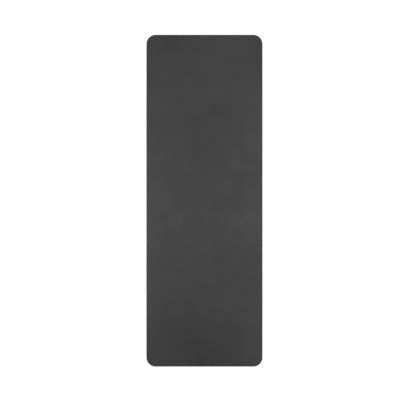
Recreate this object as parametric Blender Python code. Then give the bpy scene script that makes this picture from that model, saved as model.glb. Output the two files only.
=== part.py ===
"""Exercise mat: a thin laminated sheet with round corners, lying flat.

Units are metres and +Z is up. The origin is the centre of the underside, with X across the mat and Y along it.
The mat is seven full-size layers, one on top of the other, cut to one outline. Each layer is an object of its
own, named for what it is, and all of them hang from one empty.
"""

import bmesh
import bpy
from mathutils import Matrix, Vector

# Plan of the finished mat.
MAT_WIDTH = 0.640
MAT_LENGTH = 1.830
CORNER_RADIUS = 0.050
CORNER_SEGMENTS = 16

# Thickness of each layer, from the floor up.
GRIP_BASE_THICKNESS = 0.00090
LOWER_FOAM_THICKNESS = 0.00130
SCRIM_THICKNESS = 0.00030
UPPER_FOAM_THICKNESS = 0.00130
BONDING_FILM_THICKNESS = 0.00012
CARRIER_CLOTH_THICKNESS = 0.00040
TOP_SKIN_THICKNESS = 0.00050

# What is left between one layer and the next.
BOND_LINE = 0.00003

# Rounding of the two edges that show: the rim of the top and the rim of the underside.
TOP_RIM_RADIUS = 0.00035
BASE_RIM_RADIUS = 0.00035
RIM_SEGMENTS = 3

# The angle at which shading turns sharp, in radians.
SHARP_ANGLE = 0.7

MAT_NAME = "exercise_mat"


def clear_scene():
    """Remove every object that the scene starts with."""
    for found in list(bpy.data.objects):
        bpy.data.objects.remove(found, do_unlink=True)


def finish(name, colour, roughness):
    """Make a plain material of one linear colour and one roughness."""
    material = bpy.data.materials.new(name)
    material.use_nodes = True
    shader = material.node_tree.nodes["Principled BSDF"]
    shader.inputs["Base Color"].default_value = (*colour, 1.0)
    shader.inputs["Roughness"].default_value = roughness
    shader.inputs["Metallic"].default_value = 0.0
    return material


def upright_edges(mesh):
    """The four corner edges of a box that stands on its base."""
    return [edge for edge in mesh.edges if edge.verts[0].co.z != edge.verts[1].co.z]


def rim_edges(mesh, side):
    """The edges round the top of the slab where side is 1, or round its underside where side is -1."""
    cap = max(mesh.faces, key=lambda face: side * face.normal.z)
    return list(cap.edges)


def round_edges(mesh, edges, radius, segments):
    """Turn the edges into arcs of that radius."""
    bmesh.ops.bevel(
        mesh,
        geom=edges,
        offset=radius,
        offset_type="OFFSET",
        segments=segments,
        profile=0.5,
        affect="EDGES",
        clamp_overlap=True,
    )
    mesh.normal_update()


def layer(name, thickness, height, material, rim_radius=0.0, rim_side=1):
    """One layer of the mat: a slab with round corners whose underside is at that height.

    The rim on rim_side, 1 for the top and -1 for the underside, is rounded to rim_radius.
    """
    mesh = bmesh.new()
    to_size = Matrix.Diagonal(Vector((MAT_WIDTH, MAT_LENGTH, thickness, 1.0)))
    to_base = Matrix.Translation((0.0, 0.0, thickness / 2))
    bmesh.ops.create_cube(mesh, size=1.0, matrix=to_base @ to_size)
    mesh.normal_update()
    round_edges(mesh, upright_edges(mesh), CORNER_RADIUS, CORNER_SEGMENTS)
    if rim_radius:
        round_edges(mesh, rim_edges(mesh, rim_side), rim_radius, RIM_SEGMENTS)

    data = bpy.data.meshes.new(name)
    mesh.to_mesh(data)
    mesh.free()
    data.shade_smooth()
    data.set_sharp_from_angle(angle=SHARP_ANGLE)
    data.materials.append(material)

    made = bpy.data.objects.new(name, data)
    made.location.z = height
    return made


def grip_base(height):
    """The dense rubber skin on the floor side."""
    rubber = finish("dense_rubber", (0.020, 0.020, 0.020), 0.80)
    return layer("grip_base", GRIP_BASE_THICKNESS, height, rubber, BASE_RIM_RADIUS, rim_side=-1)


def lower_foam(height):
    """The ply of rubber foam under the scrim."""
    foam = finish("lower_rubber_foam", (0.028, 0.028, 0.028), 0.95)
    return layer("lower_foam", LOWER_FOAM_THICKNESS, height, foam)


def reinforcing_scrim(height):
    """The laid net that keeps the foam from stretching, as the sheet that its yarns fill."""
    yarn = finish("scrim_yarn", (0.45, 0.44, 0.42), 0.85)
    return layer("reinforcing_scrim", SCRIM_THICKNESS, height, yarn)


def upper_foam(height):
    """The ply of rubber foam over the scrim."""
    foam = finish("upper_rubber_foam", (0.028, 0.028, 0.028), 0.95)
    return layer("upper_foam", UPPER_FOAM_THICKNESS, height, foam)


def bonding_film(height):
    """The hot-melt film between the foam and the cloth."""
    adhesive = finish("hot_melt_film", (0.10, 0.095, 0.085), 0.45)
    return layer("bonding_film", BONDING_FILM_THICKNESS, height, adhesive)


def carrier_cloth(height):
    """The knitted cloth that the polyurethane is cast on."""
    cloth = finish("polyester_cloth", (0.085, 0.085, 0.088), 0.90)
    return layer("carrier_cloth", CARRIER_CLOTH_THICKNESS, height, cloth)


def top_skin(height):
    """The matt polyurethane face."""
    polyurethane = finish("matt_polyurethane", (0.058, 0.058, 0.058), 0.62)
    return layer("top_skin", TOP_SKIN_THICKNESS, height, polyurethane, TOP_RIM_RADIUS, rim_side=1)


# The layers in the order in which they lie, with the thickness that lifts the next one.
STACK = (
    (grip_base, GRIP_BASE_THICKNESS),
    (lower_foam, LOWER_FOAM_THICKNESS),
    (reinforcing_scrim, SCRIM_THICKNESS),
    (upper_foam, UPPER_FOAM_THICKNESS),
    (bonding_film, BONDING_FILM_THICKNESS),
    (carrier_cloth, CARRIER_CLOTH_THICKNESS),
    (top_skin, TOP_SKIN_THICKNESS),
)


def build_mat():
    """Lay the layers on each other, from the floor up, under one empty at the origin."""
    parts = bpy.data.collections.new(MAT_NAME)
    bpy.context.scene.collection.children.link(parts)
    centre = bpy.data.objects.new(MAT_NAME, None)
    parts.objects.link(centre)

    height = 0.0
    for make_layer, thickness in STACK:
        made = make_layer(height)
        made.parent = centre
        parts.objects.link(made)
        height += thickness + BOND_LINE


clear_scene()
build_mat()
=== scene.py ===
"""Exercise mat: the finished look of a thin laminated mat with round corners, lying flat.

Units are metres and +Z is up. X runs across the mat and Y along it, with the photograph's upper edge at +Y.
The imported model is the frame: each layer takes its outline and its heights from its own node there, and gets
its real edge, relief and finish here. One piece replaces each node, but two replace the one of the net.
"""

import logging
import math
from collections.abc import Callable
from dataclasses import asdict, dataclass
from enum import Enum
from types import SimpleNamespace
from typing import ClassVar

import bmesh
import bpy
from bpy.types import ID, Material, Mesh, Node, NodeSocket, NodeTree, Object
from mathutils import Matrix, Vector

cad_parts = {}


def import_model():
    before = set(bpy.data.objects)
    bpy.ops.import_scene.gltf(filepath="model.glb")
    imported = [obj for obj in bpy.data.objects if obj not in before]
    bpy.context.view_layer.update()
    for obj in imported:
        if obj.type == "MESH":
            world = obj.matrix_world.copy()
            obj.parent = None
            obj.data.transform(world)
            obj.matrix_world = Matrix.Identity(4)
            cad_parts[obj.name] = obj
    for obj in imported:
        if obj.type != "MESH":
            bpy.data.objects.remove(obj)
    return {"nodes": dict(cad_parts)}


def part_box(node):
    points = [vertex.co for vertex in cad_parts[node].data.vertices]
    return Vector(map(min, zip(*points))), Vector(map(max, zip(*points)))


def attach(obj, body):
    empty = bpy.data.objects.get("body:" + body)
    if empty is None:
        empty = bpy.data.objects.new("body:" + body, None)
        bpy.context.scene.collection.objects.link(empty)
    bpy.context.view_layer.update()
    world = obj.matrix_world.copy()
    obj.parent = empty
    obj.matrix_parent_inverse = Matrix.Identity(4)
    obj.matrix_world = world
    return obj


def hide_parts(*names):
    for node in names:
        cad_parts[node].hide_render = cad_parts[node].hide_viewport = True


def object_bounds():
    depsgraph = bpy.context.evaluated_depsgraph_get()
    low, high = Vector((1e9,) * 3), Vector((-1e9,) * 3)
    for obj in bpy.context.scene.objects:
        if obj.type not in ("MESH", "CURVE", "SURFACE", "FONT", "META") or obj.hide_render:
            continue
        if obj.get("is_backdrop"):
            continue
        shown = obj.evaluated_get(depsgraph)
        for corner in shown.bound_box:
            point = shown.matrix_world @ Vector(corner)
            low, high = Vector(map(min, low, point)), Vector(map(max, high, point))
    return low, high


Triple = tuple[float, float, float]
Colour = Triple
# What something is where a pattern is 0, and what it is where the pattern is 1.
Ends = tuple[float, float]

log = logging.getLogger("exercise_mat")

BODY = "root"

# Points nearer than this are one point.
TOUCH = 1e-6
QUARTER_TURN = math.pi / 2
# What a vector is multiplied by to lose its height.
FLAT = (1.0, 1.0, 0.0)
# Soft noise is round a half and seldom leaves this range.
NOISE_RANGE = (0.25, 0.75)
# A wave pattern of scale 1 turns through this angle in one metre.
WAVE_ANGLE = 20.0
# The attribute that says where a yarn's points lie across it, along it and up.
YARN_PLACE = "yarn_place"
# How the camera sees something: straight, mirrored or through glass.
SEEING_RAYS = ("Is Camera Ray", "Is Glossy Ray", "Is Transmission Ray")
WHITE = (1.0, 1.0, 1.0, 1.0)


def arithmetic(operation: str, swapped: bool = False) -> Callable[["Wire", "Feed"], "Wire"]:
    """Make the method of Wire that does one step with another term, which comes first if swapped."""
    order = -1 if swapped else 1
    return lambda wire, other: wire.wiring.math(operation, *(wire, other)[::order])


@dataclass(frozen=True)
class Wire:
    """A number, a vector or a shape on its way through a node tree. Arithmetic on it adds nodes."""

    wiring: "Wiring"
    socket: NodeSocket

    __add__ = arithmetic("ADD")
    __sub__ = arithmetic("SUBTRACT")
    __rsub__ = arithmetic("SUBTRACT", swapped=True)
    __mul__ = arithmetic("MULTIPLY")
    __truediv__ = arithmetic("DIVIDE")
    __rtruediv__ = arithmetic("DIVIDE", swapped=True)


Feed = Wire | list[Wire] | Material | float | int | bool | str | tuple[float, ...]
Feeds = dict[str | int, Feed]


class Wiring:
    """Adds nodes to one node tree and joins them up."""

    def __init__(self, tree: NodeTree) -> None:
        """Keep the tree that the nodes go in."""
        self.tree = tree

    def node(self, kind: str, feeds: Feeds | None = None, **options: str | bool) -> Node:
        """Add one node.

        Args:
            kind: Blender's name for it.
            feeds: What goes into its inputs, by name or place.
            options: The node's own settings.

        Returns:
            The new node.
        """
        made = self.tree.nodes.new(kind)
        for option, value in options.items():
            setattr(made, option, value)
        for place, feed in (feeds or {}).items():
            self.feed(made.inputs[place], feed)
        return made

    def wire(self, kind: str, output: str, feeds: Feeds | None = None, **options: str | bool) -> Wire:
        """One output of a new node, which is made as by node."""
        return Wire(self, self.node(kind, feeds, **options).outputs[output])

    def feed(self, socket: NodeSocket, feed: Feed) -> None:
        """Link or set an input of a node.

        Args:
            socket: The input.
            feed: A wire, several wires, or a value.
        """
        if not isinstance(feed, (Wire, list)):
            socket.default_value = feed
            return
        for wire in feed if isinstance(feed, list) else [feed]:
            self.tree.links.new(wire.socket, socket)

    def math(self, operation: str, *terms: Feed) -> Wire:
        """Do one step of arithmetic, on vectors if any term is one.

        Args:
            operation: Blender's name for it.
            terms: Numbers or vectors. Among vectors, a number stands for three like it.

        Returns:
            The result.
        """
        kinds = {term.socket.type if isinstance(term, Wire) else type(term) for term in terms}
        if kinds & {"VECTOR", "RGBA", tuple}:
            terms = tuple((term,) * 3 if isinstance(term, float) else term for term in terms)
            return self.wire("ShaderNodeVectorMath", "Vector", dict(enumerate(terms)), operation=operation)
        return self.wire("ShaderNodeMath", "Value", dict(enumerate(terms)), operation=operation)

    def length(self, vector: Wire) -> Wire:
        """How long a vector is."""
        return self.wire("ShaderNodeVectorMath", "Value", {0: vector}, operation="LENGTH")

    def xyz(self, x: Feed = 0.0, y: Feed = 0.0, z: Feed = 0.0) -> Wire:
        """One vector from three numbers."""
        return self.wire("ShaderNodeCombineXYZ", "Vector", {"X": x, "Y": y, "Z": z})

    def parts(self, vector: Wire) -> tuple[Wire, ...]:
        """The three numbers of a vector."""
        return tuple(Wire(self, part) for part in self.node("ShaderNodeSeparateXYZ", {0: vector}).outputs)

    def span(self, value: Feed, lowest: Feed, highest: Feed, start: Feed = 0.0, end: Feed = 1.0) -> Wire:
        """Turn the range from lowest to highest into one from start to end, and stop there."""
        feeds = {"Value": value, "From Min": lowest, "From Max": highest, "To Min": start, "To Max": end}
        return self.wire("ShaderNodeMapRange", "Result", feeds)

    def soft_noise(self, place: Wire, size: Feed, detail: float = 2.0, seed: Feed = 0.0) -> Wire:
        """Noise from 0 to 1, with patches of about that size. Each seed gives another."""
        feeds = {"Vector": place, "W": seed, "Scale": 1.0 / size, "Detail": detail}
        return self.span(self.wire("ShaderNodeTexNoise", "Fac", feeds, noise_dimensions="4D"), *NOISE_RANGE)


def in_scene(name: str, data: ID) -> Object:
    """Put a new object in the scene.

    Args:
        name: Its name.
        data: What it shows.

    Returns:
        The object.
    """
    made = bpy.data.objects.new(name, data)
    bpy.context.scene.collection.objects.link(made)
    return made


@dataclass(frozen=True)
class Plan:
    """The outline that every layer is cut to: a rectangle with round corners, centred on the origin."""

    width: float
    length: float
    corner: float

    @classmethod
    def of_node(cls, node: Object) -> "Plan":
        """Read the outline off a square-edged layer of the frame.

        Args:
            node: The layer, whose corners turn where its two straight ends stop.

        Returns:
            The plan.
        """
        low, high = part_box(node.name)
        end = [point.co.x for point in node.data.vertices if high.y - point.co.y < TOUCH]
        return cls(high.x - low.x, high.y - low.y, high.x - max(end))


@dataclass(frozen=True)
class Edge:
    """How a layer's cut edge looks: two rounded rims, each past a flat shoulder, and a wall between them."""

    upper_rim: float
    lower_rim: float
    rim_segments: int
    wall_rows: int = 2
    shoulder: float = 0.0004
    drawn_in: float = 0.0
    unevenness: float = 0.0
    unevenness_size: float = 0.004


class LayerTree(Wiring):
    """A geometry tree that makes one layer, with a named input for each of its sizes."""

    SOCKETS = {float: "NodeSocketFloat", int: "NodeSocketInt", Material: "NodeSocketMaterial"}

    def __init__(self, layer: "Layer") -> None:
        """Start the tree of a layer.

        Args:
            layer: The layer, whose sizes the inputs are named for.
        """
        super().__init__(bpy.data.node_groups.new(layer.piece, "GeometryNodeTree"))
        low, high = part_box(layer.node)
        self.values = {"underside": low.z, "top": high.z, "finish": layer.finish()}
        for name, value in asdict(layer).items():
            self.values |= value if isinstance(value, dict) else {name: value}
        for name, value in self.values.items():
            self.tree.interface.new_socket(name, in_out="INPUT", socket_type=self.SOCKETS[type(value)])
        outputs = self.node("NodeGroupInput").outputs
        size = SimpleNamespace(**{name: Wire(self, outputs[name]) for name in self.values})
        self.inputs = size

        self.position = self.wire("GeometryNodeInputPosition", "Position")
        self.place = self.position * FLAT
        # Half the rectangle whose corners the round ones turn about, and the way from it to each point.
        self.core = self.xyz(size.width / 2.0 - size.corner, size.length / 2.0 - size.corner)
        nearest = self.math("MAXIMUM", self.math("MINIMUM", self.place, self.core), self.core * -1.0)
        self.away = self.place - nearest
        # How far inside the outline each point lies, up to the corner radius.
        self.inside = size.corner - self.length(self.away)

    def at_height(self, height: Feed) -> Wire:
        """Where each point goes when it keeps its place and takes that height."""
        return self.place + self.xyz(z=height)

    def on_outline(self, inset: Feed, height: Feed) -> Wire:
        """Where each point goes when it moves straight out, to that inset and that height."""
        out = self.math("NORMALIZE", self.away) * (self.inputs.corner - inset)
        return self.place - self.away + out + self.xyz(z=height)

    def moved(self, shape: Wire, position: Wire, chosen: Feed = True) -> Wire:
        """The shape with its chosen points at their new positions."""
        feeds = {"Geometry": shape, "Position": position, "Selection": chosen}
        return self.wire("GeometryNodeSetPosition", "Geometry", feeds)

    def outline_sheet(self) -> Wire:
        """Make the plan as one flat sheet that has points along its edge only.

        Returns:
            The sheet, at height zero.
        """
        size = self.inputs
        feeds = {"Width": size.width, "Height": size.length}
        square = self.wire("GeometryNodeCurvePrimitiveQuadrilateral", "Curve", feeds)
        steps = self.math("CEIL", size.corner * QUARTER_TURN / size.edge_step)
        feeds = {"Curve": square, "Count": steps, "Radius": size.corner}
        rounded = self.wire("GeometryNodeFilletCurve", "Curve", feeds, mode="POLY")
        feeds = {"Curve": rounded, "Length": size.edge_step}
        even = self.wire("GeometryNodeResampleCurve", "Curve", feeds, mode="LENGTH")
        return self.wire("GeometryNodeFillCurve", "Mesh", {"Curve": even})

    def gridded_sheet(self, inset: Wire) -> Wire:
        """Make the plan as a net of even cells, which turn with the outline in the corners.

        Args:
            inset: How far inside the outline the net stops.

        Returns:
            The net, at height zero.
        """
        size = self.inputs
        between = self.math("CEIL", self.core * 2.0 / size.cell)
        across, along, _ = self.parts(between + size.corner_cells * 2.0)
        feeds = {"Size X": across, "Size Y": along, "Vertices X": across + 1.0, "Vertices Y": along + 1.0}
        net = self.wire("GeometryNodeMeshGrid", "Mesh", feeds)

        counted = self.math("ABSOLUTE", self.place)
        half = between * 0.5
        straight = self.math("MINIMUM", counted, half) / half * self.core
        past = self.math("MAXIMUM", counted - half, 0.0) / size.corner_cells
        reach = self.math("MAXIMUM", *self.parts(past)[:2]) * (size.corner - inset)
        quarter = straight + self.math("NORMALIZE", past) * reach
        return self.moved(net, quarter * self.math("SIGN", self.place))

    def run(self, shape: Wire) -> Mesh:
        """Close the tree, run it once, and keep what it makes.

        Args:
            shape: The finished shape.

        Returns:
            A plain mesh, with its faces pointing out.
        """
        whole = self.wire("GeometryNodeRealizeInstances", "Geometry", {"Geometry": shape})
        feeds = {"Geometry": whole, "Material": self.inputs.finish}
        dressed = self.wire("GeometryNodeSetMaterial", "Geometry", feeds)
        self.tree.interface.new_socket("shape", in_out="OUTPUT", socket_type="NodeSocketGeometry")
        self.node("NodeGroupOutput", {"shape": dressed})

        host = in_scene("host", bpy.data.meshes.new("host"))
        modifier = host.modifiers.new("layer", "NODES")
        modifier.node_group = self.tree
        for socket in self.tree.interface.items_tree:
            if socket.in_out == "INPUT":
                modifier[socket.identifier] = self.values[socket.name]
        evaluated = host.evaluated_get(bpy.context.evaluated_depsgraph_get())
        data = bpy.data.meshes.new_from_object(evaluated)
        bpy.data.objects.remove(host, do_unlink=True)

        mesh = bmesh.new()
        mesh.from_mesh(data)
        bmesh.ops.recalc_face_normals(mesh, faces=mesh.faces)
        mesh.to_mesh(data)
        mesh.free()
        return data


@dataclass(frozen=True)
class Slab:
    """Adds the edge of one layer to its tree."""

    tree: LayerTree

    def face_inset(self, rim: Wire) -> Wire:
        """How far inside the outline a face stops, before its shoulder and its rim."""
        return self.tree.inputs.drawn_in + (self.tree.inputs.shoulder + rim)

    def closed(self, upper: Wire, lower: Wire) -> Wire:
        """Join two faces to a closed slab.

        Args:
            upper: The upper face, in place.
            lower: The lower face, in place but still facing up, with the same points along its edge.

        Returns:
            The two faces with the wall between them.
        """
        turned = self.tree.wire("GeometryNodeFlipFaces", "Mesh", {"Mesh": lower})
        both = self.tree.wire("GeometryNodeJoinGeometry", "Geometry", {0: [self.walled(upper), turned]})
        feeds = {"Geometry": both, "Distance": TOUCH}
        return self.tree.wire("GeometryNodeMergeByDistance", "Geometry", feeds)

    def walled(self, upper: Wire) -> Wire:
        """Draw the edge of the upper face down to the edge of the lower one, ring by ring.

        Args:
            upper: The upper face, in place.

        Returns:
            The face with its wall, whose last ring is the lower face's own edge.
        """
        tree = self.tree
        shoulders = 2.0
        rings = tree.inputs.rim_segments * 2.0 + tree.inputs.wall_rows + shoulders
        begin = tree.node("GeometryNodeRepeatInput", {"Iterations": rings})
        end = tree.node("GeometryNodeRepeatOutput")
        begin.pair_with_output(end)
        tree.feed(begin.inputs["Geometry"], upper)

        neighbours = tree.wire("GeometryNodeInputMeshEdgeNeighbors", "Face Count")
        outer = tree.math("LESS_THAN", neighbours, 2.0)
        feeds = {"Mesh": Wire(tree, begin.outputs["Geometry"]), "Selection": outer, "Offset Scale": 0.0}
        drawn = tree.node("GeometryNodeExtrudeMesh", feeds, mode="EDGES")
        shape, new_ring = (Wire(tree, drawn.outputs[name]) for name in ("Mesh", "Top"))
        position = self.ring_position(Wire(tree, begin.outputs["Iteration"]) + 1.0, rings)
        tree.feed(end.inputs["Geometry"], tree.moved(shape, position, new_ring))
        return Wire(tree, end.outputs["Geometry"])

    def ring_position(self, ring: Wire, rings: Wire) -> Wire:
        """Say where the points of one ring of the wall lie.

        Args:
            ring: The ring's number, from one at the upper face's shoulder.
            rings: The number of the last ring.

        Returns:
            The position of each of its points.
        """
        tree = self.tree
        size = tree.inputs
        upper_ends = size.rim_segments + 1.0
        wall_ends = upper_ends + size.wall_rows
        lower_ends = wall_ends + size.rim_segments
        upper_turn = tree.span(ring, 1.0, upper_ends, 0.0, QUARTER_TURN)
        lower_turn = tree.span(ring, wall_ends, lower_ends, 0.0, QUARTER_TURN)
        upright = size.top - size.underside - size.upper_rim - size.lower_rim

        height = size.top - (
            size.upper_rim * (1.0 - tree.math("COSINE", upper_turn))
            + tree.span(ring, upper_ends, wall_ends) * upright
            + size.lower_rim * tree.math("SINE", lower_turn)
        )
        # The knife's cut is uneven, but not where the layer meets its neighbours.
        rough = tree.soft_noise(tree.at_height(height), size.unevenness_size, seed=size.seed)
        inset = (
            size.upper_rim * (1.0 - tree.math("SINE", upper_turn))
            + size.lower_rim * (1.0 - tree.math("COSINE", lower_turn))
            + tree.span(ring, lower_ends, rings) * size.shoulder
            + size.drawn_in
            + rough * tree.math("SINE", ring / rings * math.pi) * size.unevenness
        )
        return tree.on_outline(inset, height)


class Run(Enum):
    """Which way a set of yarns runs."""

    ALONG = "along"
    ACROSS = "across"

    def vector(self, tree: Wiring, aside: Feed = 0.0, onward: Feed = 0.0, up: Feed = 0.0) -> Wire:
        """A vector with one number across the yarns, one along them and one upwards."""
        return tree.xyz(aside, onward, up) if self is Run.ALONG else tree.xyz(onward, aside, up)


@dataclass(frozen=True)
class Yarns:
    """Adds the yarns of a net, or the holes that they lie in, to a layer's tree.

    Each shape stands out by the room all round its yarn, and runs past the outline by the overrun.
    """

    tree: LayerTree
    room: Feed
    overrun: Feed

    def both(self) -> Wire:
        """Both sets of yarns, one closed shape for each yarn."""
        return self.tree.wire("GeometryNodeJoinGeometry", "Geometry", {0: [self.laid(run) for run in Run]})

    def laid(self, run: Run) -> Wire:
        """Lay the yarns that run one way, each of which ends at the outline.

        Args:
            run: Which way they run.

        Returns:
            The yarns.
        """
        tree = self.tree
        size = tree.inputs
        along = run is Run.ALONG
        breadth, reach = (size.width, size.length) if along else (size.length, size.width)
        spaces = tree.math("ROUND", (breadth - size.pitch) / size.pitch)
        first = run.vector(tree, spaces * size.pitch * -0.5)
        feeds = {"Count": spaces + 1.0, "Start Location": first, "Offset": run.vector(tree, size.pitch)}
        starts = tree.wire("GeometryNodeMeshLine", "Mesh", feeds)
        extra = self.room * 2.0
        scale = run.vector(tree, size.yarn_width + extra, 1.0, size.yarn_thickness + extra)
        feeds = {"Points": starts, "Instance": self.unit_yarn(run), "Scale": scale}
        copies = tree.wire("GeometryNodeInstanceOnPoints", "Instances", feeds)
        short = tree.wire("GeometryNodeRealizeInstances", "Geometry", {"Geometry": copies})

        x, y, z = tree.parts(tree.position)
        aside, share = (x, y) if along else (y, x)
        onward = share * self.chord(aside, breadth, reach)
        feeds = {"Geometry": short, "Name": YARN_PLACE, "Value": tree.xyz(aside, onward, z)}
        marked = tree.wire("GeometryNodeStoreNamedAttribute", "Geometry", feeds, data_type="FLOAT_VECTOR")
        half = size.yarn_thickness * 0.5 + size.cover
        level = size.underside + half if along else size.top - half
        swayed = aside + self.sway(run, aside, onward, reach)
        return tree.moved(marked, run.vector(tree, swayed, onward, z + level))

    def unit_yarn(self, run: Run) -> Wire:
        """Make a yarn of length, width and thickness 1, which each copy stretches to a flat one.

        Args:
            run: Which way it runs.

        Returns:
            The yarn, round the origin.
        """
        size = self.tree.inputs
        feeds = {"Vertices": size.yarn_sides, "Side Segments": size.yarn_pieces, "Radius": 0.5, "Depth": 1.0}
        upright = self.tree.wire("GeometryNodeMeshCylinder", "Mesh", feeds)
        turn = (QUARTER_TURN, 0.0, 0.0) if run is Run.ALONG else (0.0, QUARTER_TURN, 0.0)
        return self.tree.wire("GeometryNodeTransform", "Geometry", {"Geometry": upright, "Rotation": turn})

    def chord(self, aside: Wire, breadth: Wire, reach: Wire) -> Wire:
        """Say how long the plan is at each point of a yarn, so that its ends follow the outline.

        Args:
            aside: How far the point lies from the middle line.
            breadth: The plan's size across the yarns.
            reach: The plan's size along them.

        Returns:
            The length, with the overrun at both ends.
        """
        corner = self.tree.inputs.corner
        straight = breadth / 2.0 - corner
        into_corner = self.tree.math("MAXIMUM", self.tree.math("ABSOLUTE", aside) - straight, 0.0)
        left = self.tree.math("SQRT", corner * corner - into_corner * into_corner)
        return reach + (self.overrun - (corner - left)) * 2.0

    def sway(self, run: Run, aside: Wire, onward: Wire, reach: Wire) -> Wire:
        """Say how far each point of a yarn lies off its straight line. Its ends lie on it.

        Args:
            run: Which way the yarn runs.
            aside: How far the point lies from the middle line.
            onward: How far it lies from the yarn's middle.
            reach: The plan's size along the yarns.

        Returns:
            The distance.
        """
        tree = self.tree
        size = tree.inputs
        noise = tree.soft_noise(run.vector(tree, aside, onward), size.sway_size, seed=size.yarn_seed)
        left = reach / 2.0 - tree.math("ABSOLUTE", onward)
        return (noise * 2.0 - 1.0) * size.sway * tree.span(left, size.corner, size.corner * 2.0)


class PaintTree(Wiring):
    """The shader tree of one material, with the patterns that the mat's finishes share."""

    def __init__(self, name: str) -> None:
        """Start a material of that name."""
        self.material = bpy.data.materials.new(name)
        self.material.use_nodes = True
        super().__init__(self.material.node_tree)
        self.place = self.wire("ShaderNodeTexCoord", "Object")

    def patches(self, size: float, detail: float, stretch: Triple = (1.0, 1.0, 1.0), seed: int = 0) -> Wire:
        """Soft noise on the piece, with patches of that size, drawn out by stretch along each axis."""
        shrink = tuple(1.0 / share for share in stretch)
        return self.soft_noise(self.place * shrink, size, detail, seed)

    def cells(self, size: float, feature: str = "F1", bend: float = 0.0) -> Wire:
        """Divide the surface into cells.

        Args:
            size: How large they are.
            feature: F1 for the distance from a cell's middle, or DISTANCE_TO_EDGE for that from its border.
            bend: How far their straight sides are bent.

        Returns:
            The distance at each point, as a share of the cells' size.
        """
        feeds = {"Vector": self.place, "Scale": 1.0 / size, "Detail": 1.0}
        shift = (self.wire("ShaderNodeTexNoise", "Color", feeds) - 0.5) * bend
        feeds = {"Vector": self.place + shift, "Scale": 1.0 / size}
        return self.wire("ShaderNodeTexVoronoi", "Distance", feeds, feature=feature)

    def lines(self, pitch: float, direction: str) -> Wire:
        """Even round-topped lines, which follow one another along X or Y at that pitch."""
        feeds = {"Vector": self.place, "Scale": 2.0 * math.pi / (WAVE_ANGLE * pitch)}
        return self.wire("ShaderNodeTexWave", "Fac", feeds, bands_direction=direction)

    def inside(self, plan: Plan) -> Wire:
        """Say how far inside the mat's outline each point lies.

        Args:
            plan: The outline.

        Returns:
            The distance, which is less than zero outside it.
        """
        core = (plan.width / 2 - plan.corner, plan.length / 2 - plan.corner, 0.0)
        away = self.math("MAXIMUM", self.math("ABSOLUTE", self.place) * FLAT - core, 0.0)
        return plan.corner - self.length(away)

    def shade(self, feeds: Feeds) -> Material:
        """Feed the shader.

        Args:
            feeds: What goes into its inputs, by name.

        Returns:
            The material.
        """
        for name, feed in feeds.items():
            self.feed(self.tree.nodes["Principled BSDF"].inputs[name], feed)
        return self.material

    def dress(
        self,
        colour: Feed,
        tints: list[tuple[Wire, Ends]],
        matt: tuple[Wire, Ends],
        reliefs: list[tuple[Wire, float]],
        specular: float,
        sheen: float = 0.0,
    ) -> Material:
        """Feed the shader with a colour and the patterns on it.

        Args:
            colour: The colour.
            tints: The patterns that darken or lighten it, each with the factors for its ends.
            matt: The pattern that the roughness follows, with the roughness at its ends.
            reliefs: The patterns that stand up, the coarsest first, each with how high its 1 stands.
            specular: How strongly it mirrors. A half is usual.
            sheen: How strongly its nap shines at a slant.

        Returns:
            The material.
        """
        for pattern, ends in tints:
            colour = self.span(pattern, 0.0, 1.0, *ends) * colour
        normal: Feeds = {}
        for pattern, height in reliefs:
            bump = {"Height": pattern, "Distance": height}
            normal = {"Normal": self.wire("ShaderNodeBump", "Normal", bump | normal)}
        roughness = self.span(matt[0], 0.0, 1.0, *matt[1])
        gloss = {"Roughness": roughness, "Specular IOR Level": specular, "Sheen Weight": sheen}
        return self.shade({"Base Color": colour} | gloss | normal)


@dataclass(frozen=True)
class CloudsAndShade:
    """Soft patches in a cast film, partly its own cloudy tone and partly painted light and shade, which are
    darker or lighter by the swing at most.
    """

    size: float
    detail: float
    seed: int
    swing: float


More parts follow.
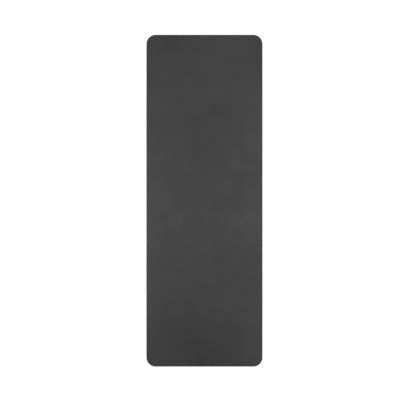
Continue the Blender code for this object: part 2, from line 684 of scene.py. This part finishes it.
@dataclass(frozen=True)
class MattPolyurethane:
    """The charcoal face: a dull film with a fine leather grain whose creases are painted darker as shade,
    faintly cloudy with painted light and shade in large patches, and worn at the rim.
    """

    plan: Plan
    colour: Colour = (0.0455, 0.0454, 0.0454)
    # Partly the film's own cloudy tone and partly painted light and shade, in large soft patches across the
    # face.
    clouds_and_shade: tuple[CloudsAndShade, ...] = (
        CloudsAndShade(0.450, 1.0, 311, 0.128),
        CloudsAndShade(0.320, 1.0, 3660, 0.078),
        CloudsAndShade(0.085, 4.0, 2824, 0.090),
    )
    streak_size: float = 0.030
    streak_stretch: Triple = (5.0, 1.0, 1.0)
    streak_tint: Ends = (0.985, 1.015)
    grain_size: float = 0.0019
    grain_bend: float = 0.0016
    crease_share: float = 0.24
    # Painted shade: the grain's creases are darker than its tops.
    crease_shade_tint: Ends = (0.84, 1.03)
    grain_depth: float = 0.00010
    pore_size: float = 0.00045
    pore_depth: float = 0.00003
    worn_width: float = 0.0015
    worn_patch: float = 0.012
    worn_tint: Ends = (1.0, 1.15)
    roughness: Ends = (0.58, 0.70)
    specular: float = 0.18

    def material(self) -> Material:
        """Mix the finish.

        Returns:
            The material.
        """
        paint = PaintTree("matt_polyurethane")
        streaks = paint.patches(self.streak_size, detail=3.0, stretch=self.streak_stretch)
        border = paint.cells(self.grain_size, "DISTANCE_TO_EDGE", self.grain_bend)
        grain = paint.math("SINE", paint.span(border, 0.0, self.crease_share) * QUARTER_TURN)
        pores = paint.patches(self.pore_size, detail=3.0)
        rim = paint.span(paint.inside(self.plan), 0.0, self.worn_width, 1.0, 0.0)
        worn = rim * paint.patches(self.worn_patch, detail=4.0)
        # The patches darken and lighten the face: partly cloudy tone, partly painted light and shade.
        cloudy_and_shaded = []
        for clouds_and_shade in self.clouds_and_shade:
            patches = paint.patches(clouds_and_shade.size, clouds_and_shade.detail, seed=clouds_and_shade.seed)
            cloudy_and_shaded.append((patches, (1.0 + clouds_and_shade.swing, 1.0 - clouds_and_shade.swing)))
        return paint.dress(
            self.colour,
            # The grain's tint paints shade into its creases.
            tints=[(streaks, self.streak_tint), *cloudy_and_shaded, (grain, self.crease_shade_tint), (worn, self.worn_tint)],
            matt=((streaks + pores) / 2.0, self.roughness),
            reliefs=[(grain, self.grain_depth), (pores, self.pore_depth)],
            specular=self.specular,
        )


@dataclass(frozen=True)
class PolyesterKnit:
    """The dark grey cloth under the face: fine upright wales crossed by the courses, with a soft nap and
    painted shade between the loops.
    """

    colour: Colour = (0.085, 0.085, 0.088)
    wale_pitch: float = 0.0011
    course_pitch: float = 0.0008
    course_share: Ends = (0.45, 1.0)
    # Painted shade: darker in the grooves between the loops, lighter on their tops.
    loop_shade_tint: Ends = (0.62, 1.15)
    loop_depth: float = 0.00012
    nap_size: float = 0.0003
    nap_tint: Ends = (0.85, 1.15)
    nap_depth: float = 0.00003
    roughness: Ends = (0.84, 0.96)
    specular: float = 0.2
    sheen: float = 0.25

    def material(self) -> Material:
        """Mix the finish.

        Returns:
            The material.
        """
        paint = PaintTree("polyester_knit")
        courses = paint.span(paint.lines(self.course_pitch, "Y"), 0.0, 1.0, *self.course_share)
        loops = paint.lines(self.wale_pitch, "X") * courses
        nap = paint.patches(self.nap_size, detail=3.0)
        return paint.dress(
            self.colour,
            # The loops' tint paints shade between them.
            tints=[(loops, self.loop_shade_tint), (nap, self.nap_tint)],
            matt=(nap, self.roughness),
            reliefs=[(loops, self.loop_depth), (nap, self.nap_depth)],
            specular=self.specular,
            sheen=self.sheen,
        )


@dataclass(frozen=True)
class HotMeltFilm:
    """The adhesive film: dull, slightly milky, and printed with the cloth that was pressed into it."""

    colour: Colour = (0.100, 0.095, 0.085)
    milky_size: float = 0.018
    milky_tint: Ends = (0.80, 1.20)
    print_pitch: float = 0.0011
    print_depth: float = 0.00003
    roughness: Ends = (0.34, 0.52)
    specular: float = 0.45

    def material(self) -> Material:
        """Mix the finish.

        Returns:
            The material.
        """
        paint = PaintTree("hot_melt_film")
        milky = paint.patches(self.milky_size, detail=3.0)
        printed = paint.lines(self.print_pitch, "X") * paint.lines(self.print_pitch, "Y")
        return paint.dress(
            self.colour,
            tints=[(milky, self.milky_tint)],
            matt=(milky, self.roughness),
            reliefs=[(printed, self.print_depth)],
            specular=self.specular,
        )


@dataclass(frozen=True)
class RubberFoam:
    """Near-black rubber foam: fine round cells, cut open at the edge and painted darker inside as shade, with
    a few large ones among them.
    """

    name: str
    colour: Colour = (0.026, 0.026, 0.026)
    cell_size: float = 0.00034
    cell_shares: Ends = (0.0, 0.7)
    large_cell_size: float = 0.0011
    large_cell_shares: Ends = (0.05, 0.35)
    # Painted shade: the open cells are darker inside.
    pit_shade_tint: Ends = (0.55, 1.20)
    pit_depth: float = 0.00009
    dust_size: float = 0.006
    dust_tint: Ends = (0.90, 1.20)
    roughness: Ends = (0.97, 0.86)
    specular: float = 0.25

    def material(self) -> Material:
        """Mix the finish.

        Returns:
            The material.
        """
        paint = PaintTree(self.name)
        cells = paint.span(paint.cells(self.cell_size), *self.cell_shares)
        pitted = cells * paint.span(paint.cells(self.large_cell_size), *self.large_cell_shares)
        dust = paint.patches(self.dust_size, detail=4.0)
        return paint.dress(
            self.colour,
            # The pits' tint is painted shade.
            tints=[(pitted, self.pit_shade_tint), (dust, self.dust_tint)],
            matt=(pitted, self.roughness),
            reliefs=[(pitted, self.pit_depth)],
            specular=self.specular,
        )


@dataclass(frozen=True)
class FlatYarn:
    """Off-white polyester yarn without twist: long fine filaments, soiled by the rubber here and there."""

    colour: Colour = (0.45, 0.44, 0.42)
    filament_size: float = 0.00006
    filament_stretch: Triple = (1.0, 80.0, 1.0)
    filament_tint: Ends = (0.80, 1.10)
    soil_size: float = 0.004
    soil_tint: Ends = (0.72, 1.05)
    roughness: Ends = (0.62, 0.80)
    specular: float = 0.35

    def material(self) -> Material:
        """Mix the finish, which follows each yarn.

        Returns:
            The material.
        """
        paint = PaintTree("flat_yarn")
        paint.place = paint.wire("ShaderNodeAttribute", "Vector", attribute_name=YARN_PLACE)
        filaments = paint.patches(self.filament_size, detail=1.0, stretch=self.filament_stretch)
        soiled = paint.patches(self.soil_size, detail=3.0)
        return paint.dress(
            self.colour,
            tints=[(filaments, self.filament_tint), (soiled, self.soil_tint)],
            matt=(filaments, self.roughness),
            reliefs=[(filaments, self.filament_size)],
            specular=self.specular,
        )


@dataclass(frozen=True)
class DenseRubber:
    """The base: near-black rubber with a fine matt skin, rubbed smoother and greyer at its studs' tips."""

    stud_height: float
    rubbed_share: float = 1.0 / 3.0
    tip_tint: Ends = (1.0, 1.35)
    colour: Colour = (0.021, 0.021, 0.021)
    skin_size: float = 0.0006
    skin_depth: float = 0.00004
    talc_size: float = 0.045
    talc_tint: Ends = (0.85, 1.25)
    roughness: Ends = (0.66, 0.88)
    specular: float = 0.4

    def material(self) -> Material:
        """Mix the finish.

        Returns:
            The material.
        """
        paint = PaintTree("dense_rubber")
        tips = paint.span(paint.parts(paint.place)[2], 0.0, self.stud_height * self.rubbed_share, 1.0, 0.0)
        skin = paint.patches(self.skin_size, detail=4.0)
        talc = paint.patches(self.talc_size, detail=5.0)
        return paint.dress(
            self.colour,
            tints=[(talc, self.talc_tint), (tips, self.tip_tint)],
            matt=(paint.span(skin - tips, -1.0, 1.0), self.roughness),
            reliefs=[(skin, self.skin_depth)],
            specular=self.specular,
        )


@dataclass
class Layer:
    """One layer of the mat, in the space of its node."""

    plan: Plan

    node: ClassVar[str]
    piece: ClassVar[str]
    slot: ClassVar[str]
    # The piece that it is laid on, if it is a sheet.
    laid_on: ClassVar[str | None] = None
    # Faces that meet at more than this angle keep a sharp edge.
    sharp_angle: ClassVar[float] = math.radians(40.0)

    def finish(self) -> Material:
        """What the layer is made of."""
        raise NotImplementedError

    def shape(self, tree: LayerTree) -> Wire:
        """The layer as one or more closed shapes, made in its tree."""
        raise NotImplementedError

    def declare(self, made: Object) -> None:
        """Take no further step with the finished piece."""

    def lay(self) -> Object:
        """Build the layer and hand it to the frame.

        Returns:
            The piece.
        """
        tree = LayerTree(self)
        data = tree.run(self.shape(tree))
        data.name = self.piece
        data.shade_smooth()
        data.set_sharp_from_angle(angle=self.sharp_angle)
        made = in_scene(self.piece, data)
        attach(made, BODY)
        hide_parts(self.node)
        self.declare(made)
        return made


@dataclass
class CutLayer(Layer):
    """A layer whose faces are glued to its neighbours, so that its cut edge is what shows of it."""

    edge: Edge
    edge_step: float
    seed: int

    def shape(self, tree: LayerTree) -> Wire:
        """Make two flat faces with the cut edge between them.

        Args:
            tree: The layer's tree.

        Returns:
            The closed slab.
        """
        size = tree.inputs
        slab = Slab(tree)
        sheet = tree.outline_sheet()
        upper = tree.moved(sheet, tree.on_outline(slab.face_inset(size.upper_rim), size.top))
        lower = tree.moved(sheet, tree.on_outline(slab.face_inset(size.lower_rim), size.underside))
        return slab.closed(upper, lower)


@dataclass
class GripBase(CutLayer):
    """The rubber skin that holds the floor: rows of lozenge studs with V grooves between them."""

    edge: Edge = Edge(0.00004, 0.00035, 5, wall_rows=1)
    edge_step: float = 0.0040
    seed: int = 19
    lozenge_width: float = 0.0100
    lozenge_length: float = 0.0160
    stud_height: float = 0.00050
    tip_share: float = 0.74
    overrun: float = 0.0005

    node = "grip_base"
    piece = "studded_base"
    slot = "grip_base"
    sharp_angle = math.radians(19.0)

    def finish(self) -> Material:
        """Near-black dense rubber."""
        return DenseRubber(self.stud_height).material()

    def shape(self, tree: LayerTree) -> Wire:
        """A field of studs, cut out with the mat's outline."""
        feeds = {"Mesh 2": [self.studs(tree), self.cutter(tree)]}
        return tree.wire("GeometryNodeMeshBoolean", "Mesh", feeds, operation="INTERSECT", solver="MANIFOLD")

    def cutter(self, tree: LayerTree) -> Wire:
        """Make the slab with its lower face lowered past the studs, so that they keep their own tips.

        Args:
            tree: The layer's tree.

        Returns:
            The closed slab.
        """
        size = tree.inputs
        past_rim = tree.math("GREATER_THAN", tree.inside, size.lower_rim + size.shoulder / 2.0)
        middle = (size.underside + size.top) * 0.5
        low = tree.math("LESS_THAN", tree.parts(tree.position)[2], middle)
        return tree.moved(super().shape(tree), tree.at_height(size.underside - size.overrun), past_rim * low)

    def studs(self, tree: LayerTree) -> Wire:
        """Make a thick sheet, larger than the mat, with a stud under each cell of a lozenge lattice.

        Args:
            tree: The layer's tree.

        Returns:
            The closed sheet, whose studs stand on the layer's underside.
        """
        size = tree.inputs
        diagonal = size.width / size.lozenge_width + size.length / size.lozenge_length
        spare = 2.0
        cells = tree.math("CEIL", diagonal) + spare
        ends = cells + 1.0
        feeds = {"Size": tree.xyz(cells, cells, 1.0), "Vertices X": ends, "Vertices Y": ends, "Vertices Z": 2}
        block = tree.wire("GeometryNodeMeshCube", "Mesh", feeds)
        u, v, w = tree.parts(tree.position)
        x = (u - v) * (size.lozenge_width * 0.5)
        y = (u + v) * (size.lozenge_length * 0.5)
        z = tree.span(w, -0.5, 0.5, size.underside + size.stud_height, size.top + size.overrun)
        lattice = tree.moved(block, tree.xyz(x, y, z))

        facing = tree.parts(tree.wire("GeometryNodeInputNormal", "Normal"))[2]
        feeds = {
            "Mesh": lattice,
            "Selection": tree.math("LESS_THAN", facing, -0.5),
            "Offset": (0.0, 0.0, -1.0),
            "Offset Scale": size.stud_height,
            "Individual": True,
        }
        grown = tree.node("GeometryNodeExtrudeMesh", feeds).outputs
        shape, tips = (Wire(tree, grown[name]) for name in ("Mesh", "Top"))
        feeds = {"Geometry": shape, "Selection": tips, "Scale": size.tip_share}
        return tree.wire("GeometryNodeScaleElements", "Geometry", feeds)


@dataclass
class FoamPly(CutLayer):
    """One ply of rubber foam. Once cut, it springs back a little behind its neighbours."""

    edge: Edge = Edge(
        0.00006, 0.00006, 2, wall_rows=5, drawn_in=0.00005, unevenness=0.00022, unevenness_size=0.0045
    )
    edge_step: float = 0.0015
    seed: int = 11

    slot = "foam"

    def finish(self) -> Material:
        """Near-black foam."""
        return RubberFoam("rubber_foam_" + self.node).material()

    def declare(self, made: Object) -> None:
        """Take no further step with the finished ply."""


@dataclass
class LowerFoam(FoamPly):
    """The ply under the net."""

    seed: int = 13

    node = "lower_foam"
    piece = "lower_foam_ply"


@dataclass
class UpperFoam(FoamPly):
    """The ply over the net."""

    node = "upper_foam"
    piece = "upper_foam_ply"


@dataclass(frozen=True)
class YarnNet:
    """The flat yarns between the plies: some run along the mat and, over them, others across it."""

    pitch: float = 0.0030
    yarn_width: float = 0.0011
    yarn_thickness: float = 0.00012
    cover: float = 0.00002
    yarn_sides: int = 8
    yarn_pieces: int = 6
    sway: float = 0.00025
    sway_size: float = 0.110
    yarn_seed: int = 17


@dataclass
class LaidScrim(Layer):
    """The net itself, cut with the mat, so that the cut ends of its yarns show in the edge."""

    net: YarnNet = YarnNet()
    drawn_in: float = 0.00004

    node = "reinforcing_scrim"
    piece = "laid_scrim"
    slot = "scrim"
    laid_on = LowerFoam.piece

    def finish(self) -> Material:
        """Off-white yarn."""
        return FlatYarn().material()

    def shape(self, tree: LayerTree) -> Wire:
        """The two sets of yarns, one over the other."""
        return Yarns(tree, room=0.0, overrun=tree.inputs.drawn_in * -1.0).both()


@dataclass
class ScrimRubber(FoamPly):
    """The rubber that the press drove through the net, which leaves each yarn in a hole of its own."""

    edge: Edge = Edge(0.00003, 0.00003, 2, drawn_in=0.00005, unevenness=0.00012, unevenness_size=0.0030)
    seed: int = 23
    net: YarnNet = YarnNet()
    room: float = 0.000004
    overrun: float = 0.0005

    node = "reinforcing_scrim"
    piece = "rubber_round_scrim"

    def shape(self, tree: LayerTree) -> Wire:
        """A thin sheet with a hole for each yarn."""
        feeds = {0: super().shape(tree), 1: Yarns(tree, tree.inputs.room, tree.inputs.overrun).both()}
        return tree.wire("GeometryNodeMeshBoolean", "Mesh", feeds, operation="DIFFERENCE", solver="MANIFOLD")


@dataclass
class BondingFilm(CutLayer):
    """The film that was melted between the cloth and the rubber, squeezed out unevenly at the edge."""

    edge: Edge = Edge(0.00003, 0.00003, 3, drawn_in=0.00002, unevenness=0.00016, unevenness_size=0.0075)
    edge_step: float = 0.0020
    seed: int = 7

    node = "bonding_film"
    piece = "melted_film"
    slot = "bonding_film"

    def finish(self) -> Material:
        """Dull milky adhesive."""
        return HotMeltFilm().material()


@dataclass
class CarrierCloth(CutLayer):
    """The knitted cloth that the face is cast on. Its cut loops stand out along the edge."""

    edge: Edge = Edge(0.00010, 0.00010, 3, drawn_in=0.00003, unevenness=0.00014, unevenness_size=0.0013)
    edge_step: float = 0.00060
    seed: int = 5

    node = "carrier_cloth"
    piece = "knit_carrier"
    slot = "carrier_cloth"
    laid_on = BondingFilm.piece

    def finish(self) -> Material:
        """Fine dark grey knit."""
        return PolyesterKnit().material()


@dataclass
class TopSkin(Layer):
    """The polyurethane face: one cast sheet, pressed slightly uneven, with a soft round rim."""

    edge: Edge = Edge(0.00035, 0.00004, 5)
    cell: float = 0.008
    corner_cells: int = 16
    dip: float = 0.00010
    dip_size: float = 0.060
    fade_width: float = 0.020
    seed: int = 3

    node = "top_skin"
    piece = "polyurethane_face"
    slot = "top_skin"
    laid_on = CarrierCloth.piece

    def finish(self) -> Material:
        """Matt charcoal film."""
        return MattPolyurethane(self.plan).material()

    def shape(self, tree: LayerTree) -> Wire:
        """Make a net of cells that follows the outline, with its wall and its underside.

        Args:
            tree: The layer's tree.

        Returns:
            The closed face.
        """
        size = tree.inputs
        slab = Slab(tree)
        depth = tree.soft_noise(tree.place, size.dip_size, seed=size.seed) * size.dip
        fade = tree.span(tree.inside, 0.0, size.fade_width)
        rims = (size.upper_rim, size.lower_rim)
        upper, lower = (tree.gridded_sheet(slab.face_inset(rim)) for rim in rims)
        pressed = tree.moved(upper, tree.at_height(size.top - depth * fade))
        return slab.closed(pressed, tree.moved(lower, tree.at_height(size.underside)))


@dataclass(frozen=True)
class SoftBox:
    """A flat studio lamp with a diffuser. The camera doesn't see it."""

    name: str
    place: Triple
    target: Triple
    width: float
    height: float
    watts: float

    def hang(self) -> None:
        """Put the lamp in the scene, facing its target."""
        data = bpy.data.lights.new(self.name, "AREA")
        data.shape = "RECTANGLE"
        data.size = self.width
        data.size_y = self.height
        data.energy = self.watts
        lamp = in_scene(self.name, data)
        lamp.location = self.place
        aim = Vector(self.target) - Vector(self.place)
        lamp.rotation_euler = aim.to_track_quat("-Z", "Y").to_euler()
        lamp.visible_camera = False


@dataclass(frozen=True)
class Viewpoint:
    """The photograph's camera, straight above the mat, and where the mat lies in its square picture."""

    picture_px: float = 400.0
    mat_width_px: float = 116.0
    mat_centre_px: tuple[float, float] = (204.45, 200.68)
    lens_mm: float = 85.0
    sensor_mm: float = 36.0

    def take(self, plan: Plan, height: float) -> None:
        """Place the camera.

        Args:
            plan: The mat's outline.
            height: How high the mat's face lies.
        """
        metres_per_px = plan.width / self.mat_width_px
        distance = self.picture_px * metres_per_px * self.lens_mm / self.sensor_mm
        right, down = (metres_per_px * (at - self.picture_px / 2) for at in self.mat_centre_px)
        data = bpy.data.cameras.new("photograph")
        data.lens = self.lens_mm
        data.sensor_width = self.sensor_mm
        camera = in_scene("photograph", data)
        camera.location = (-right, down, height + distance)
        bpy.context.scene.camera = camera


@dataclass(frozen=True)
class Studio:
    """A white floor and sky, with a long soft box on each side of the mat and one past its far end."""

    plan: Plan
    sky: float = 0.45
    floor_size: float = 80.0
    floor_colour: Colour = (0.50, 0.50, 0.50)
    near_glow: float = 0.49
    end_glow: float = 0.70
    far_glow: float = 0.80
    glow_distance: float = 0.50
    boxes: tuple[SoftBox, ...] = (
        SoftBox("left_box", (-0.75, -0.07, 0.54), (-0.20, -0.07, 0.0), 1.40, 0.30, 5.1),
        SoftBox("right_box", (0.75, -0.09, 0.54), (0.20, -0.09, 0.0), 1.40, 0.30, 5.6),
        SoftBox("far_box", (0.0, 1.00, 0.50), (0.0, 0.40, 0.0), 1.20, 0.80, 1.6),
    )

    def set_up(self) -> None:
        """Open a sky, white to the camera and a soft light elsewhere, lay the floor and hang the lamps."""
        bpy.context.scene.view_settings.view_transform = "Standard"
        world = bpy.data.worlds.new("studio")
        world.use_nodes = True
        bpy.context.scene.world = world
        tree = Wiring(world.node_tree)
        background = world.node_tree.nodes["Background"]
        tree.feed(background.inputs["Strength"], tree.span(seen(tree), 0.0, 1.0, self.sky, 1.0))
        tree.feed(background.inputs["Color"], WHITE)
        self.lay_floor()
        for box in self.boxes:
            box.hang()

    def lay_floor(self) -> None:
        """Lay a large floor, whose glow makes it white to the camera where the lamps leave it grey."""
        paint = PaintTree("white_floor")
        outside = paint.inside(self.plan) * -1.0
        glow = paint.span(outside, 0.0, self.glow_distance, self.near_glow, self.far_glow)
        along = paint.parts(paint.math("ABSOLUTE", paint.place))[1]
        half = self.plan.length / 2
        past_boxes = paint.span(along, half / 2, half, self.near_glow, self.end_glow)
        feeds = {
            "Base Color": (*self.floor_colour, 1.0),
            "Roughness": 1.0,
            "Specular IOR Level": 0.0,
            "Emission Color": WHITE,
            "Emission Strength": paint.math("MAXIMUM", glow, past_boxes) * seen(paint),
        }
        mesh = bmesh.new()
        bmesh.ops.create_grid(mesh, x_segments=1, y_segments=1, size=self.floor_size / 2)
        data = bpy.data.meshes.new("floor")
        mesh.to_mesh(data)
        mesh.free()
        data.materials.append(paint.shade(feeds))
        in_scene("floor", data)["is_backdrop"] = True


def seen(tree: Wiring) -> Wire:
    """1 for what the camera sees, and 0 for what only lights."""
    straight, mirrored, through = (tree.wire("ShaderNodeLightPath", ray) for ray in SEEING_RAYS)
    return tree.math("MAXIMUM", straight, tree.math("MAXIMUM", mirrored, through))


def report(piece: Object) -> None:
    """Log a piece's triangles, its size, and how many of its edges don't join exactly two faces.

    Args:
        piece: The finished piece.
    """
    mesh = bmesh.new()
    mesh.from_mesh(piece.data)
    triangles = len(mesh.calc_loop_triangles())
    open_edges = sum(not edge.is_manifold for edge in mesh.edges)
    mesh.free()
    low, high = (Vector(piece.bound_box[corner]) for corner in (0, 6))
    size = ", ".join(f"{1000 * side:.2f}" for side in high - low)
    log.info("%s: %d triangles, %d open edges, %s mm", piece.name, triangles, open_edges, size)


def main() -> None:
    """Load the frame, lay the mat's layers from the floor up, and light them as in the photograph."""
    logging.basicConfig(level=logging.INFO, format="%(message)s")
    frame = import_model()
    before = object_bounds()
    plan = Plan.of_node(frame["nodes"]["upper_foam"])
    for layer in (GripBase, LowerFoam, LaidScrim, ScrimRubber, UpperFoam, BondingFilm, CarrierCloth, TopSkin):
        report(layer(plan).lay())
    Studio(plan).set_up()
    Viewpoint().take(plan, before[1].z)


if __name__ == "__main__":
    main()
